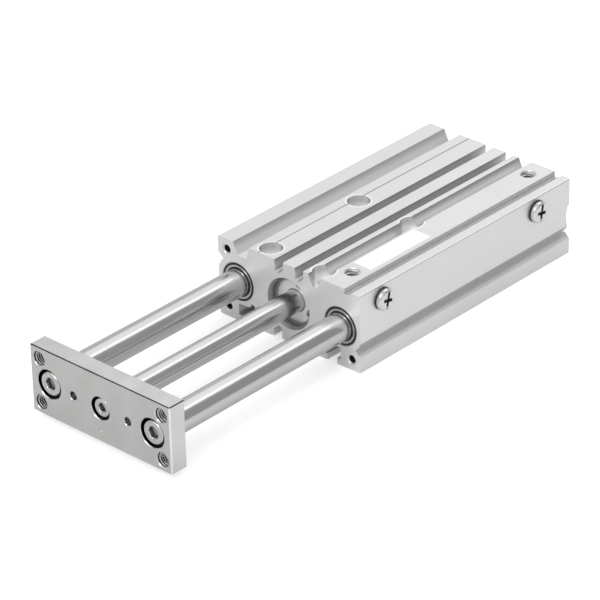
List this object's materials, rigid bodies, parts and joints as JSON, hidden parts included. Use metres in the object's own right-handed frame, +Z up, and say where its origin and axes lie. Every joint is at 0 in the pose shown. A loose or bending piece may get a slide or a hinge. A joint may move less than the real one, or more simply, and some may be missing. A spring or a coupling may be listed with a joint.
{
  "type": "guided pneumatic cylinder",
  "caption": "Compact pneumatic cylinder in a slotted aluminium housing, its piston rod and guide rods carrying a steel end plate.",
  "frame": {"origin": "centre of the four base mounting threads, on the mounting face", "axes": "+X to the side with the plugged ports, +Y along the stroke towards the closed rear end, so the end plate is at negative Y, +Z up out of the mounting face"},
  "size_m": [0.0665, 0.198, 0.0301],
  "materials": {
    "anodised_aluminium": "clear anodised, satin",
    "plate_steel": "nickel plated, ground, satin",
    "rod_chrome": "hard chromed and polished",
    "screw_steel": "zinc plated",
    "cover_aluminium": "turned, fine rings",
    "piston_aluminium": "turned",
    "seal_rubber": "matte black",
    "bumper_rubber": "matte dark polyurethane",
    "bush_bronze": "sintered bronze",
    "ring_steel": "phosphated spring steel, nearly black",
    "case_steel": "bright rolled steel",
    "plug_steel": "nickel plated, bright",
    "gasket_rubber": "matte black",
    "label_film": "white printed film, blank",
    "magnet": "bonded ferrite, dull",
    "wear_ring_plastic": "filled resin, ivory"
  },
  "bodies": {
    "housing": {"cylinder_body": "anodised_aluminium", "rod_cover": "cover_aluminium", "rod_seal": "seal_rubber", "rod_bush": "bush_bronze", "rod_cover_oring": "seal_rubber", "rod_cover_ring": "ring_steel", "head_cover": "cover_aluminium", "head_cover_oring": "seal_rubber", "head_cover_ring": "ring_steel", "side_port_plugs": "plug_steel", "side_port_gaskets": "gasket_rubber", "name_label": "label_film", "front_bush_left": "bush_bronze", "front_bush_right": "bush_bronze", "rear_bush_left": "bush_bronze", "rear_bush_right": "bush_bronze", "guide_wiper_left": "seal_rubber", "guide_wiper_right": "seal_rubber", "wiper_case_left": "case_steel", "wiper_case_right": "case_steel"},
    "slider": {"end_plate": "plate_steel", "piston_rod": "rod_chrome", "piston": "piston_aluminium", "piston_seal": "seal_rubber", "magnet_ring": "magnet", "wear_ring": "wear_ring_plastic", "front_bumper": "bumper_rubber", "rear_bumper": "bumper_rubber", "guide_rod_screws": "screw_steel", "piston_rod_screw": "screw_steel", "guide_rod_left": "rod_chrome", "guide_rod_right": "rod_chrome"}
  },
  "joints": [
    {"name": "stroke", "type": "slide", "parent": "housing", "child": "slider", "axis": [0, 1, 0], "range_m": [0, 0.075]}
  ]
}
